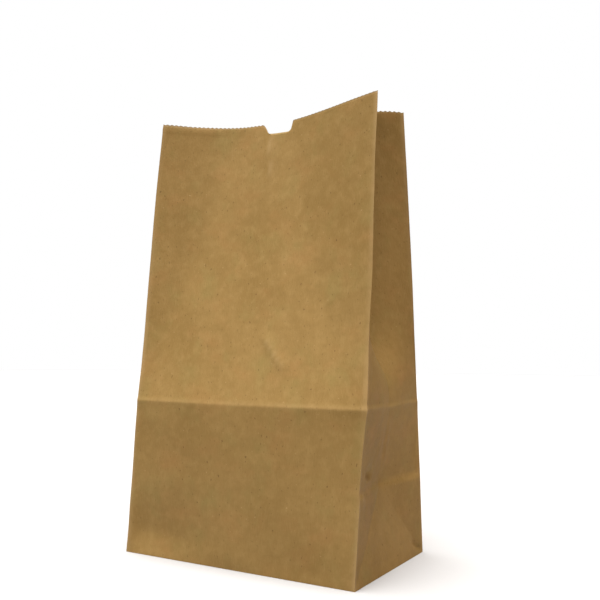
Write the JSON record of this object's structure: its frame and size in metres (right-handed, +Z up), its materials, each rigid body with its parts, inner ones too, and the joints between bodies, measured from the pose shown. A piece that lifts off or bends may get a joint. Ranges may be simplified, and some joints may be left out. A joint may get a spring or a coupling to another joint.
{
  "type": "paper lunch bag",
  "caption": "Square-bottomed lunch bag of brown kraft paper, folded from one sheet, standing open with tucked-in side gussets, a saw-toothed mouth and a thumb notch in the front panel.",
  "frame": {"origin": "centre of the square base, on the surface that the bag stands on", "axes": "+Z up towards the mouth, -Y towards the front panel that has the thumb notch, +X towards the right side's gusset as seen from the front"},
  "size_m": [0.1592, 0.095, 0.2651],
  "materials": {
    "kraft": "unbleached brown kraft paper, matt, with fine fibres and flecks and soft handling creases"
  },
  "bodies": {
    "root": {"paper_bag": "kraft"}
  },
  "joints": []
}
